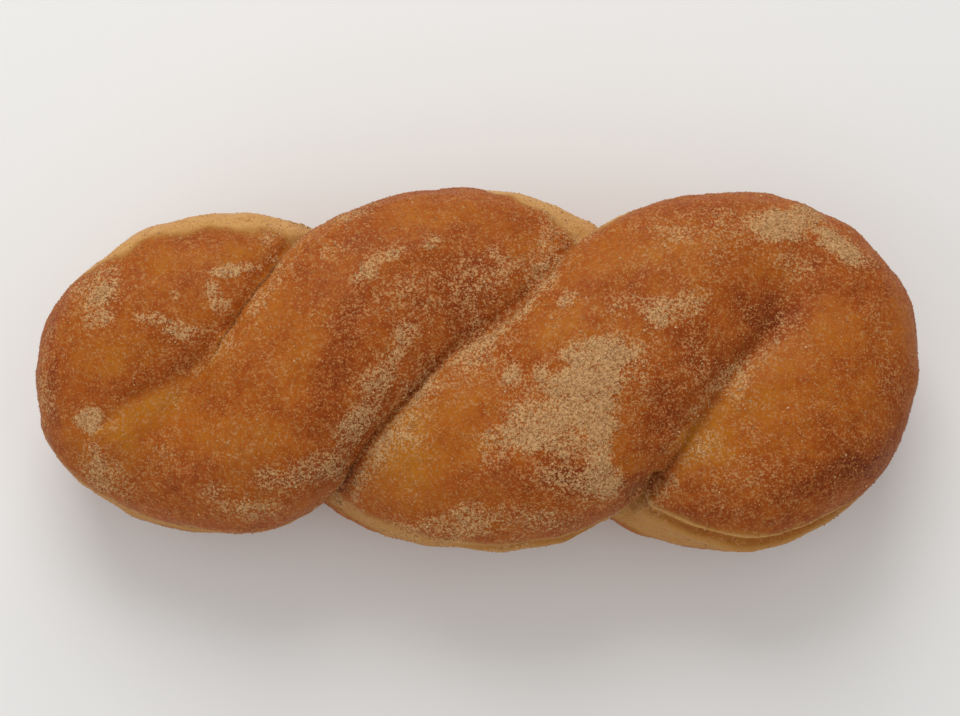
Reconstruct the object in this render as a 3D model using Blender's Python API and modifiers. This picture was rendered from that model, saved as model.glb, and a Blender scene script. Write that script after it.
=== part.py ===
"""A twisted doughnut: one rope of yeast dough, folded into a loop and given one whole turn.

Lengths are in millimetres, and MM turns them to Blender's metres. +X runs along the doughnut, +Z is up,
and the origin is under its middle, on the surface that it lies on.
"""

import bisect
import math

import bpy
from mathutils import Vector, kdtree, noise

MM = 0.001

# Five places along the doughnut, and how far the loop of rope is turned about its long axis at each:
# flat at the left bend, one strand over the other at the first crossing, side by side in the middle, and so on.
PLACES_X = (-43.2, -26.6, -0.2, 25.3, 47.6)
QUARTER_TURNS = (0.0, 1.0, 2.0, 3.0, 4.0)
CROSSING_HASTE = 0.25  # radians by which the twist hurries over the crossings and lingers at the sides
TWIST_RUN_OUT = 7.0  # the twist dies away over this length past each bend

# At those places: the distance from the long axis to the dough's outer side, the radius of each strand,
# and how far the two strands together lie to one side.
HALF_WIDTHS = (30.1, 29.6, 33.7, 31.4, 33.2)
FIRST_STRAND = (17.3, 17.2, 21.4, 20.1, 19.6)  # under the other strand at the first crossing
SECOND_STRAND = (17.3, 18.0, 20.0, 19.4, 19.6)  # over it there
SIDE_STEPS = (-0.7, 0.6, 0.1, -0.3, -0.4)

# The bends at the ends: how far the middle of the rope reaches past the last place, and how far each tip
# is carried sideways, because a twisted loop doesn't lie straight.
LEFT_REACH = 20.4
RIGHT_REACH = 13.8
LEFT_LEAN = -2.1
RIGHT_LEAN = 2.6

# How proving and frying settle the dough.
TOP_LIMIT = 31.5  # height above the rope's middle plane that the top bends over towards
BASE_LIMIT = 28.0  # and the same below the middle plane
FOOT = 1.6  # depth cut off the lowest swells, where the dough sat on its tray

# The crease where the strands press together.
CREASE_DEPTH = 1.6  # how much deeper it is than where two round strands would meet
CREASE_HALF_WIDTH = 1.5
SOFT_BEND = 16.0  # it fades out over this length towards each tip

# The waist: a pinched line round the side, where the dough rose clear of the oil on both sides.
WAIST_DEPTH = 0.9
WAIST_HALF_HEIGHT = 3.6
WAIST_HEIGHT = -1.5  # from the rope's middle plane
SIDEWAYS = 0.45  # how level a face's normal has to be before the waist shows

# Slow swells that make the dough uneven.
LUMP_HEIGHT = 0.9
LUMP_SPACING = 17.0
LUMP_SEED = Vector((3.1, 7.4, 1.7))

# How finely the skin is made.
STATION_STEP = 2.2  # from one point on the rope to the next
ROPE_SIDES_RESOLUTION = 10
FUSE_VOXEL = 0.8
CREASE_EASING = 5  # rounds of smoothing everywhere
END_EASING = 30  # and further rounds at the bends
TRIANGLES = 11000


def clear_scene():
    """Removes the objects of the startup scene."""
    for old in list(bpy.data.objects):
        bpy.data.objects.remove(old)


def along(sizes, x):
    """A size that is given at the five places, read at x from a smooth curve through them."""
    last = len(PLACES_X) - 1
    x = min(max(x, PLACES_X[0]), PLACES_X[last])
    place = min(last - 1, bisect.bisect_right(PLACES_X, x) - 1)

    def slope(index):
        low = max(0, index - 1)
        high = min(last, index + 1)
        return (sizes[high] - sizes[low]) / (PLACES_X[high] - PLACES_X[low])

    span = PLACES_X[place + 1] - PLACES_X[place]
    share = (x - PLACES_X[place]) / span
    bend_in = slope(place) * span
    bend_out = slope(place + 1) * span
    rise = sizes[place + 1] - sizes[place]
    return sizes[place] + share * (
        bend_in + share * (3.0 * rise - 2.0 * bend_in - bend_out + share * (bend_in + bend_out - 2.0 * rise))
    )


def twist_angle(x):
    """How far the loop is turned about the long axis at x."""
    left = PLACES_X[0]
    right = PLACES_X[-1]
    quarter = math.pi / 2.0
    if x > right:
        rate = quarter / (right - PLACES_X[-2])
        turned = 4.0 * quarter + rate * TWIST_RUN_OUT * math.tanh((x - right) / TWIST_RUN_OUT)
    elif x < left:
        rate = quarter / (PLACES_X[1] - left)
        turned = rate * TWIST_RUN_OUT * math.tanh((x - left) / TWIST_RUN_OUT)
    else:
        turned = quarter * along(QUARTER_TURNS, x)
    return turned - CROSSING_HASTE * math.sin(2.0 * turned)


def strand_stations(radii):
    """Points (x, distance from the long axis, radius) along one strand, from the left bend to the right."""
    length = PLACES_X[-1] - PLACES_X[0]
    count = round(length / STATION_STEP)
    xs = [PLACES_X[0] + length * index / count for index in range(count + 1)]
    return [(x, along(HALF_WIDTHS, x) - along(radii, x), along(radii, x)) for x in xs]


def bend_stations(centre_x, half_width, rope_radius, reach):
    """The same round the bend at one end, between the two strands. The left end's reach is negative."""
    across = math.copysign(half_width - rope_radius, reach)
    count = round(math.pi * (abs(across) + abs(reach)) / (2.0 * STATION_STEP))
    angles = [math.pi * index / count for index in range(1, count)]
    return [(centre_x + reach * math.sin(a), across * math.cos(a), rope_radius) for a in angles]


def sideways(x):
    """How far the rope is carried sideways at x: a little between the bends, and more towards each tip."""
    if x > PLACES_X[-1]:
        return SIDE_STEPS[-1] + RIGHT_LEAN * (x - PLACES_X[-1]) / RIGHT_REACH
    if x < PLACES_X[0]:
        return SIDE_STEPS[0] + LEFT_LEAN * (PLACES_X[0] - x) / LEFT_REACH
    return along(SIDE_STEPS, x)


def rope_stations():
    """Points along the middle of the rope, once round the loop, each with the rope's radius there.

    They start at the left tip, so the first half of them is one strand and the second half is the other.
    """
    first = strand_stations(FIRST_STRAND)
    second = [(x, -v, radius) for x, v, radius in reversed(strand_stations(SECOND_STRAND))]
    right_bend = bend_stations(PLACES_X[-1], HALF_WIDTHS[-1], FIRST_STRAND[-1], RIGHT_REACH)
    left_bend = bend_stations(PLACES_X[0], HALF_WIDTHS[0], FIRST_STRAND[0], -LEFT_REACH)
    tip = len(left_bend) // 2
    stations = []
    for x, v, radius in left_bend[tip:] + first + right_bend + second + left_bend[:tip]:
        angle = twist_angle(x)
        middle = Vector((x, v * math.cos(angle) + sideways(x), -v * math.sin(angle)))
        stations.append((middle, radius))
    return stations


def rope_curve():
    """The rope as a closed curve with a round section. It runs into itself where the strands press together."""
    curve = bpy.data.curves.new("rope", "CURVE")
    curve.dimensions = "3D"
    curve.bevel_depth = MM
    curve.bevel_resolution = ROPE_SIDES_RESOLUTION
    spline = curve.splines.new("POLY")
    stations = rope_stations()
    spline.points.add(len(stations) - 1)
    spline.use_cyclic_u = True
    for point, (middle, radius) in zip(spline.points, stations):
        point.co = (*(middle * MM), 1.0)
        point.radius = radius
    rope = bpy.data.objects.new("rope", curve)
    bpy.context.scene.collection.objects.link(rope)
    return rope


def settle(mesh):
    """Bends the high and low swells over, as soft dough settles under its own weight."""
    for vertex in mesh.vertices:
        height = vertex.co.z / MM
        limit = TOP_LIMIT if height > 0 else BASE_LIMIT
        vertex.co.z = MM * height / math.hypot(1.0, height / limit)


def apply_modifiers(thing):
    """Replaces the object's mesh by what its modifiers make of it."""
    graph = bpy.context.evaluated_depsgraph_get()
    made = bpy.data.meshes.new_from_object(thing.evaluated_get(graph))
    thing.modifiers.clear()
    thing.data = made


def past_ends(x):
    """0 between the bends, and 1 towards each tip, where the crease has faded out."""
    past = max(x - PLACES_X[-1], PLACES_X[0] - x) + SOFT_BEND / 2.0
    return min(1.0, max(0.0, past / SOFT_BEND))


def station_tree(stations):
    """A search tree over stations of the rope, in millimetres."""
    tree = kdtree.KDTree(len(stations))
    for index, (middle, _) in enumerate(stations):
        tree.insert(middle, index)
    tree.balance()
    return tree


def press_creases(mesh):
    """Presses the skin in where it touches both strands. At the sides the crease is deep enough as it is."""
    stations = rope_stations()
    half = len(stations) // 2
    halves = [(part, station_tree(part)) for part in (stations[:half], stations[half:])]
    moves = []
    for vertex in mesh.vertices:
        point = vertex.co / MM
        gaps = []
        for part, tree in halves:
            _, index, distance = tree.find(point)
            gaps.append(distance - part[index][1])
        nearness = math.exp(-((max(gaps) / CREASE_HALF_WIDTH) ** 2))
        share = nearness * (1.0 - past_ends(point.x)) * abs(vertex.normal.z)
        moves.append(vertex.normal * -CREASE_DEPTH * MM * share)
    for vertex, move in zip(mesh.vertices, moves):
        vertex.co += move


def fuse(dough):
    """Makes the overlapping strands one closed skin."""
    remesh = dough.modifiers.new("fuse", "REMESH")
    remesh.mode = "VOXEL"
    remesh.voxel_size = FUSE_VOXEL * MM
    apply_modifiers(dough)


def ease(dough):
    """Smooths the skin: a little all over, and more at the bends, where the crease fades out."""
    ends = dough.vertex_groups.new(name="ends")
    for vertex in dough.data.vertices:
        ends.add([vertex.index], past_ends(vertex.co.x / MM), "REPLACE")
    everywhere = dough.modifiers.new("ease_everywhere", "SMOOTH")
    everywhere.iterations = CREASE_EASING
    at_ends = dough.modifiers.new("ease_ends", "SMOOTH")
    at_ends.iterations = END_EASING
    at_ends.vertex_group = "ends"
    apply_modifiers(dough)
    dough.vertex_groups.clear()


def waist(point, normal):
    """How far the waist pulls the skin in at this point."""
    height = (point.z / MM - WAIST_HEIGHT) / WAIST_HALF_HEIGHT
    level = max(0.0, 1.0 - abs(normal.z) / SIDEWAYS)
    return WAIST_DEPTH * level * math.exp(-height * height)


def shape_skin(mesh):
    """Moves the skin along its normals, out at the lumps and in at the waist."""
    moves = []
    for vertex in mesh.vertices:
        lump = noise.noise(vertex.co / (LUMP_SPACING * MM) + LUMP_SEED)
        moves.append(vertex.normal * (LUMP_HEIGHT * lump - waist(vertex.co, vertex.normal)) * MM)
    for vertex, move in zip(mesh.vertices, moves):
        vertex.co += move


def thin_out(dough):
    """Merges triangles where the skin is smooth, and leaves the creases sharp."""
    dough.data.calc_loop_triangles()
    collapse = dough.modifiers.new("thin_out", "DECIMATE")
    collapse.ratio = TRIANGLES / len(dough.data.loop_triangles)
    collapse.use_collapse_triangulate = True
    apply_modifiers(dough)


def cut_foot(dough, cutters):
    """Cuts the lowest swells flat."""
    lowest = min(vertex.co.z for vertex in dough.data.vertices)
    reach = 0.3
    top = lowest + FOOT * MM
    bpy.ops.mesh.primitive_cube_add(size=reach, location=(0.0, 0.0, top - reach / 2.0))
    block = bpy.context.object
    block.name = "foot_cutter"
    for collection in list(block.users_collection):
        collection.objects.unlink(block)
    cutters.objects.link(block)
    block.hide_render = True
    block.display_type = "WIRE"
    cut = dough.modifiers.new("foot", "BOOLEAN")
    cut.operation = "DIFFERENCE"
    cut.object = block
    apply_modifiers(dough)


def stand_on_origin(mesh):
    """Moves the dough so that its box stands centred on the origin."""
    lows = [min(vertex.co[axis] for vertex in mesh.vertices) for axis in range(3)]
    highs = [max(vertex.co[axis] for vertex in mesh.vertices) for axis in range(3)]
    middle = [(low + high) / 2.0 for low, high in zip(lows, highs)]
    for vertex in mesh.vertices:
        vertex.co -= Vector((middle[0], middle[1], lows[2]))


def crust_material():
    """Fried yeast dough, dusted with cinnamon sugar: rough, warm brown, no shine."""
    material = bpy.data.materials.new("fried_crust")
    material.use_nodes = True
    surface = material.node_tree.nodes["Principled BSDF"]
    surface.inputs["Base Color"].default_value = (0.42, 0.15, 0.035, 1.0)
    surface.inputs["Roughness"].default_value = 0.7
    surface.inputs["Metallic"].default_value = 0.0
    return material


def new_collection(name):
    collection = bpy.data.collections.new(name)
    bpy.context.scene.collection.children.link(collection)
    return collection


def main():
    clear_scene()
    parts = new_collection("twisted_doughnut")
    cutters = new_collection("cutters")
    rope = rope_curve()
    bpy.context.view_layer.update()
    graph = bpy.context.evaluated_depsgraph_get()
    mesh = bpy.data.meshes.new_from_object(rope.evaluated_get(graph))
    bpy.data.objects.remove(rope)
    dough = bpy.data.objects.new("twisted_doughnut", mesh)
    parts.objects.link(dough)
    fuse(dough)
    press_creases(dough.data)
    ease(dough)
    settle(dough.data)
    shape_skin(dough.data)
    thin_out(dough)
    cut_foot(dough, cutters)
    stand_on_origin(dough.data)
    dough.data.materials.clear()
    dough.data.materials.append(crust_material())
    dough.data.shade_smooth()


main()
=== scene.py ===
# %% [markdown]
# # A twisted doughnut
#
# The real one is a rope of sweet yeast dough, folded into a loop, turned round itself once, left to rise and
# fried on both sides. Then it is rolled in cinnamon sugar while it is warm. This lesson builds its looks round
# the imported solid: a fine crust in the solid's own form, a coat of sugar grains, a floor, lights and a camera.
#
# The solid comes first, because every later piece is placed by it.

# %% Load the frame
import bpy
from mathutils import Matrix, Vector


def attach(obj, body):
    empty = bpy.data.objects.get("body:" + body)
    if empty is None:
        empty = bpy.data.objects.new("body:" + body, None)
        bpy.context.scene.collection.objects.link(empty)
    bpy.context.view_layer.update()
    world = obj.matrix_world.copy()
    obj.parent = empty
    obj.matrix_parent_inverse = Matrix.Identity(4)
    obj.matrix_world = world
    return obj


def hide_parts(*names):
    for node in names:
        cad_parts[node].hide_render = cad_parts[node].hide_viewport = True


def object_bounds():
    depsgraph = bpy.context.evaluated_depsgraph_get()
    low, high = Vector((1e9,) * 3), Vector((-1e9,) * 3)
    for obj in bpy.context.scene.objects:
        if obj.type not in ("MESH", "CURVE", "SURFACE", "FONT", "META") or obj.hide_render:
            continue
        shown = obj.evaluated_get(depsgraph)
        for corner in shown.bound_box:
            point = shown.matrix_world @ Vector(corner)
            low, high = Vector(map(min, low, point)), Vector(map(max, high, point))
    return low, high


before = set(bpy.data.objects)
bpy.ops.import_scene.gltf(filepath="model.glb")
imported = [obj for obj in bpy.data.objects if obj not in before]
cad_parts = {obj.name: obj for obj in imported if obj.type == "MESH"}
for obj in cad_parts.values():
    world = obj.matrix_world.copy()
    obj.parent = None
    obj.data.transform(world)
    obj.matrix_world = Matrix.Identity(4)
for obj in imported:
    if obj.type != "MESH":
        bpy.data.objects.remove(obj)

cad_box = [list(map(float, corner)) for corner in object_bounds()]
print("the solid's box in metres", cad_box)

# %% [markdown]
# ## Small tools
#
# Blender works in metres, and a cook measures in millimetres, so `MM` turns one to the other. Colours are given
# as sRGB hex values, as in a paint program, and one function turns them to the linear values that shaders use.
# An operator acts on all that is selected, so `only` selects one object before each operator.

# %% Units, colours and selection
import bisect
import math

import bpy
import numpy as np
from mathutils import Vector, kdtree, noise

MM = 0.001


def linear(hex_colour):
    """An sRGB hex colour as linear red, green, blue and alpha."""
    shares = [int(hex_colour[place:place + 2], 16) / 255.0 for place in (1, 3, 5)]
    return [s / 12.92 if s <= 0.04045 else ((s + 0.055) / 1.055) ** 2.4 for s in shares] + [1.0]


def only(thing):
    """Selects one object and nothing else."""
    bpy.ops.object.select_all(action="DESELECT")
    thing.select_set(True)
    bpy.context.view_layer.objects.active = thing
    return thing


def finish_modifier(thing, modifier):
    """Applies one modifier, so that its result becomes the object's own mesh."""
    only(thing)
    bpy.ops.object.modifier_apply(modifier=modifier.name)


def add_node(tree, kind, inputs=(), output=0, **settings):
    """Adds a node and gives back one of its outputs. Each input is a number, a hex colour or another output."""
    node = tree.nodes.new(kind)
    for name, value in settings.items():
        setattr(node, name, value)
    for socket, value in dict(inputs).items():
        if isinstance(value, bpy.types.NodeSocket):
            tree.links.new(value, node.inputs[socket])
        else:
            is_colour = isinstance(value, str) and value.startswith("#")
            node.inputs[socket].default_value = linear(value) if is_colour else value
    return node if output is None else node.outputs[output]


bpy.ops.object.select_all(action="DESELECT")
print("linear value of mid grey", linear("#808080")[0])

# %% [markdown]
# ## The path of the rope
#
# A twisted doughnut could be sculpted, but its form follows a rule: two strands, joined by a bend at each end,
# wind round one long axis. So the middle line of the rope is worked out from a few sizes at five places along
# that axis. They are the sizes of the solid, so the crust comes out in the same form.

# %% The rope's sizes
PLACES_X = (-43.2, -26.6, -0.2, 25.3, 47.6)  # left bend, crossing, middle, crossing, right bend
QUARTER_TURNS = (0.0, 1.0, 2.0, 3.0, 4.0)
HALF_WIDTHS = (30.1, 29.6, 33.7, 31.4, 33.2)
FIRST_STRAND = (17.3, 17.2, 21.4, 20.1, 19.6)
SECOND_STRAND = (17.3, 18.0, 20.0, 19.4, 19.6)
SIDE_STEPS = (-0.7, 0.6, 0.1, -0.3, -0.4)
LEFT_REACH = 20.4
RIGHT_REACH = 13.8
LEFT_LEAN = -2.1
RIGHT_LEAN = 2.6
CROSSING_HASTE = 0.25
TWIST_RUN_OUT = 7.0
STATION_STEP = 2.2


def along(sizes, x):
    """A size that is given at the five places, read at x from a smooth curve through them."""
    last = len(PLACES_X) - 1
    x = min(max(x, PLACES_X[0]), PLACES_X[last])
    place = min(last - 1, bisect.bisect_right(PLACES_X, x) - 1)

    def slope(index):
        low = max(0, index - 1)
        high = min(last, index + 1)
        return (sizes[high] - sizes[low]) / (PLACES_X[high] - PLACES_X[low])

    span = PLACES_X[place + 1] - PLACES_X[place]
    share = (x - PLACES_X[place]) / span
    bend_in = slope(place) * span
    bend_out = slope(place + 1) * span
    rise = sizes[place + 1] - sizes[place]
    return sizes[place] + share * (
        bend_in + share * (3.0 * rise - 2.0 * bend_in - bend_out + share * (bend_in + bend_out - 2.0 * rise))
    )


def twist_angle(x):
    """How far the two strands are turned about the long axis at x."""
    quarter = math.pi / 2.0
    if x > PLACES_X[-1]:
        rate = quarter / (PLACES_X[-1] - PLACES_X[-2])
        turned = 4.0 * quarter + rate * TWIST_RUN_OUT * math.tanh((x - PLACES_X[-1]) / TWIST_RUN_OUT)
    elif x < PLACES_X[0]:
        rate = quarter / (PLACES_X[1] - PLACES_X[0])
        turned = rate * TWIST_RUN_OUT * math.tanh((x - PLACES_X[0]) / TWIST_RUN_OUT)
    else:
        turned = quarter * along(QUARTER_TURNS, x)
    return turned - CROSSING_HASTE * math.sin(2.0 * turned)


print("twist in degrees at the middle", round(math.degrees(twist_angle(PLACES_X[2])), 1))

# %% Stations along the rope


def strand(radii):
    """Points (x, distance from the long axis, radius) along one strand, from the left bend to the right."""
    length = PLACES_X[-1] - PLACES_X[0]
    count = round(length / STATION_STEP)
    xs = [PLACES_X[0] + length * index / count for index in range(count + 1)]
    return [(x, along(HALF_WIDTHS, x) - along(radii, x), along(radii, x)) for x in xs]


def bend(centre_x, half_width, rope_radius, reach):
    """The same round the bend at one end. The left end's reach is negative."""
    across = math.copysign(half_width - rope_radius, reach)
    count = round(math.pi * (abs(across) + abs(reach)) / (2.0 * STATION_STEP))
    angles = [math.pi * index / count for index in range(1, count)]
    return [(centre_x + reach * math.sin(a), across * math.cos(a), rope_radius) for a in angles]


def sideways(x):
    """How far the rope is carried sideways at x."""
    if x > PLACES_X[-1]:
        return SIDE_STEPS[-1] + RIGHT_LEAN * (x - PLACES_X[-1]) / RIGHT_REACH
    if x < PLACES_X[0]:
        return SIDE_STEPS[0] + LEFT_LEAN * (PLACES_X[0] - x) / LEFT_REACH
    return along(SIDE_STEPS, x)


def rope_stations():
    """Points along the rope from the left tip, with its radius at each: first one strand, then the other."""
    second = [(x, -v, radius) for x, v, radius in reversed(strand(SECOND_STRAND))]
    right = bend(PLACES_X[-1], HALF_WIDTHS[-1], FIRST_STRAND[-1], RIGHT_REACH)
    left = bend(PLACES_X[0], HALF_WIDTHS[0], FIRST_STRAND[0], -LEFT_REACH)
    tip = len(left) // 2
    found = []
    for x, v, radius in left[tip:] + strand(FIRST_STRAND) + right + second + left[:tip]:
        angle = twist_angle(x)
        found.append((Vector((x, v * math.cos(angle) + sideways(x), -v * math.sin(angle))), radius))
    return found


stations = rope_stations()
rope_length = sum((a[0] - b[0]).length for a, b in zip(stations, stations[1:] + stations[:1]))
print(len(stations), "stations, and the rope's middle line is", round(rope_length), "mm long")

# %% [markdown]
# ## From a ring to a rope
#
# A circle primitive has one loop of vertices, which is just what a closed rope needs. Its vertices are moved to
# the stations and the mesh is converted to a curve, because a curve can be thickened with a radius of its own at
# each point. Converting back to a mesh gives a tube that runs into itself where the strands press together.

# %% Make the rope
ROPE_RESOLUTION = 10

bpy.ops.mesh.primitive_circle_add(vertices=len(stations), radius=PLACES_X[-1] * MM)
rope = bpy.context.object
rope.name = "fried_crust"
for vertex, (middle, radius) in zip(rope.data.vertices, stations):
    vertex.co = middle * MM
bpy.ops.object.convert(target="CURVE")
rope.data.bevel_depth = MM
rope.data.bevel_resolution = ROPE_RESOLUTION
radius_tree = kdtree.KDTree(len(stations))
for index, (middle, radius) in enumerate(stations):
    radius_tree.insert(middle * MM, index)
radius_tree.balance()
for point in rope.data.splines[0].points:
    point.radius = stations[radius_tree.find(point.co.xyz)[1]][1]
bpy.ops.object.convert(target="MESH")
print("rope tube:", len(rope.data.polygons), "faces")

# %% [markdown]
# ## One skin
#
# Dough strands that rise against each other grow together. A Remesh modifier in voxel mode does the same: it
# keeps the outer surface of all that overlaps as one closed skin of small even faces. A Boolean union would keep
# the tube's long faces, which can't carry wrinkles.

# %% Fuse the strands
SKIN_VOXEL = 0.52 * MM

remesh = rope.modifiers.new("one_skin", "REMESH")
remesh.mode = "VOXEL"
remesh.voxel_size = SKIN_VOXEL
finish_modifier(rope, remesh)
crust = rope
print("skin:", len(crust.data.vertices), "vertices")

# %% [markdown]
# ## Reading and moving the skin
#
# From here on the skin is shaped as a sculptor would, by pushing its vertices in or out along their normals. With
# this many vertices it is quickest to read them into arrays, work out one push for each, and write them back.

# %% Vertex arrays


def read_points(thing):
    """The vertices' places in millimetres, and their normals."""
    count = len(thing.data.vertices)
    places = np.empty(count * 3)
    thing.data.vertices.foreach_get("co", places)
    normals = np.empty(count * 3)
    thing.data.vertex_normals.foreach_get("vector", normals)
    return places.reshape(-1, 3) / MM, normals.reshape(-1, 3)


def write_points(thing, places):
    """Puts the vertices at these places, which are in millimetres."""
    thing.data.vertices.foreach_set("co", (places * MM).ravel())
    thing.data.update()


def keep_map(thing, name, values):
    """Stores one number for each vertex under a name that shaders and geometry nodes can read."""
    layer = thing.data.attributes.get(name) or thing.data.attributes.new(name, "FLOAT", "POINT")
    layer.data.foreach_set("value", np.ascontiguousarray(values, dtype=np.float32))


def read_map(thing, name):
    """The numbers stored under a name."""
    values = np.empty(len(thing.data.vertices), dtype=np.float32)
    thing.data.attributes[name].data.foreach_get("value", values)
    return values.astype(float)


def swell(places, spacing, seed, layers=1):
    """Smooth noise between about -1 and 1 at each place. Each further layer is half as wide and half as strong."""
    total = np.zeros(len(places))
    for layer in range(layers):
        near = places / (spacing / 2.0**layer) + np.array(seed) * (layer + 1)
        total += np.array([noise.noise(point) for point in near]) / 2.0**layer
    return total


def smoothstep(low, high, values):
    """0 below low, 1 above high, and a soft step between."""
    share = np.clip((values - low) / (high - low), 0.0, 1.0)
    return share * share * (3.0 - 2.0 * share)


places, normals = read_points(crust)
print("skin from", places.min(axis=0).round(1), "to", places.max(axis=0).round(1), "mm")

# %% [markdown]
# ## Creases
#
# The crease is where a point of the skin lies on both strands at once. How far a point is from a strand's surface
# is the distance to its nearest station less the radius there. One strand's gap less the other's passes through
# nothing at the crease, so the skin is pressed in there. Towards the tips the crease fades out.

# %% Press the creases
CREASE_DEPTH = 1.3
CREASE_HALF_WIDTH = 1.5
SOFT_BEND = 16.0


def past_ends(x):
    """0 between the bends, and 1 towards each tip."""
    past = np.maximum(x - PLACES_X[-1], PLACES_X[0] - x) + SOFT_BEND / 2.0
    return np.clip(past / SOFT_BEND, 0.0, 1.0)


def gaps_to(part, places):
    """How far each place is outside one half of the rope."""
    tree = kdtree.KDTree(len(part))
    for index, (middle, radius) in enumerate(part):
        tree.insert(middle, index)
    tree.balance()
    gaps = np.empty(len(places))
    for row, place in enumerate(places):
        middle, index, distance = tree.find(place)
        gaps[row] = distance - part[index][1]
    return gaps


half = len(stations) // 2
crease_offset = gaps_to(stations[:half], places) - gaps_to(stations[half:], places)
loop_share = 1.0 - past_ends(places[:, 0])
press = CREASE_DEPTH * np.exp(-((crease_offset / CREASE_HALF_WIDTH) ** 2)) * loop_share * np.abs(normals[:, 2])
write_points(crust, places - normals * press[:, None])
keep_map(crust, "crease_offset", crease_offset)
print("deepest press", press.max().round(2), "mm on", int((press > 0.5).sum()), "vertices")

# %% [markdown]
# ## Easing
#
# Proving rounds everything off. Smooth modifiers do that: a few rounds everywhere, and many more at the bends,
# held there by a vertex group. The rounds are counted for faces of 0.8 mm, and finer faces need more of them,
# because one round only reaches the next vertex.

# %% Smooth the skin
COARSE_FACE = 0.8 * MM
ROUNDS_ALL = 5
ROUNDS_ENDS = 30

rounds_per_coarse = (COARSE_FACE / SKIN_VOXEL) ** 2
ends = crust.vertex_groups.new(name="ends")
for index, share in enumerate(past_ends(places[:, 0])):
    if share > 0.0:
        ends.add([index], share, "REPLACE")
ease_all = crust.modifiers.new("ease_all", "SMOOTH")
ease_all.iterations = round(ROUNDS_ALL * rounds_per_coarse)
finish_modifier(crust, ease_all)
ease_ends = crust.modifiers.new("ease_ends", "SMOOTH")
ease_ends.iterations = round(ROUNDS_ENDS * rounds_per_coarse)
ease_ends.vertex_group = "ends"
finish_modifier(crust, ease_ends)
crust.vertex_groups.clear()
print("each round on a coarse skin takes", round(rounds_per_coarse, 1), "rounds on this one")

# %% [markdown]
# ## Settling, lumps and the waist
#
# Soft dough sinks under its own weight, so the high and low swells are bent over. Slow noise makes it uneven, as
# hand-rolled dough is. Floating in oil leaves a pinched waist round the side, between the two fried faces.

# %% Settle the dough
TOP_LIMIT = 31.5
BASE_LIMIT = 28.0
LUMP_HEIGHT = 0.9
LUMP_SPACING = 17.0
LUMP_SEED = (3.1, 7.4, 1.7)
WAIST_DEPTH = 0.9
WAIST_HALF_HEIGHT = 3.6
WAIST_HEIGHT = -1.5
SIDEWAYS = 0.45

places = read_points(crust)[0]
limit = np.where(places[:, 2] > 0, TOP_LIMIT, BASE_LIMIT)
places[:, 2] = places[:, 2] / np.hypot(1.0, places[:, 2] / limit)
write_points(crust, places)
places, normals = read_points(crust)
lump = LUMP_HEIGHT * swell(places, LUMP_SPACING, LUMP_SEED)
level = np.clip(1.0 - np.abs(normals[:, 2]) / SIDEWAYS, 0.0, 1.0)
pinch = WAIST_DEPTH * level * np.exp(-(((places[:, 2] - WAIST_HEIGHT) / WAIST_HALF_HEIGHT) ** 2))
write_points(crust, places + normals * (lump - pinch)[:, None])
print("lumps from", lump.min().round(2), "to", lump.max().round(2), "mm")

# %% [markdown]
# ## A foot to lie on
#
# The lowest swells were flattened by the tray. Bisect cuts them off level and fills the cut. Then the dough is
# moved so that its box is centred over the origin and stands on the floor, as the solid does.

# %% Cut the foot and place the dough
FOOT = 1.6

foot_level = (read_points(crust)[0][:, 2].min() + FOOT) * MM
only(crust)
bpy.ops.object.mode_set(mode="EDIT")
bpy.ops.mesh.select_all(action="SELECT")
bpy.ops.mesh.bisect(plane_co=(0.0, 0.0, foot_level), plane_no=(0.0, 0.0, 1.0), use_fill=True, clear_inner=True)
bpy.ops.object.mode_set(mode="OBJECT")
places = read_points(crust)[0]
solid_low = np.array(cad_box[0]) / MM
solid_high = np.array(cad_box[1]) / MM
shift = (solid_low + solid_high) / 2.0 - (places.min(axis=0) + places.max(axis=0)) / 2.0
shift[2] = solid_low[2] - places[:, 2].min()
write_points(crust, places + shift)
places, normals = read_points(crust)
print("dough box", places.min(axis=0).round(2), places.max(axis=0).round(2))
print("solid box", solid_low.round(2), solid_high.round(2))

# %% [markdown]
# Hands never turn two strands quite evenly, so the middle crease wanders a little. It is pushed sideways in two
# places, as proportional editing does it: most at the centre of the push, less further out, and only on the top.
# Each push is its place, its reach and how far it goes, in millimetres.

# %% Push the middle crease aside
CREASE_PUSHES = ((-20.2, -17.0, 8.0, 1.7), (-0.3, 4.0, 6.0, 1.2))
PUSH_TOWARDS = np.array([-0.82, 0.57])

top_half = smoothstep(16.0, 26.0, places[:, 2])
for x, y, reach, distance in CREASE_PUSHES:
    nearness = np.exp(-((places[:, 0] - x) ** 2 + (places[:, 1] - y) ** 2) / reach**2)
    places[:, :2] += distance * (top_half * nearness)[:, None] * PUSH_TOWARDS
write_points(crust, places)
places, normals = read_points(crust)
print("the middle crease is pushed by up to", max(push[3] for push in CREASE_PUSHES), "mm")
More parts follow.
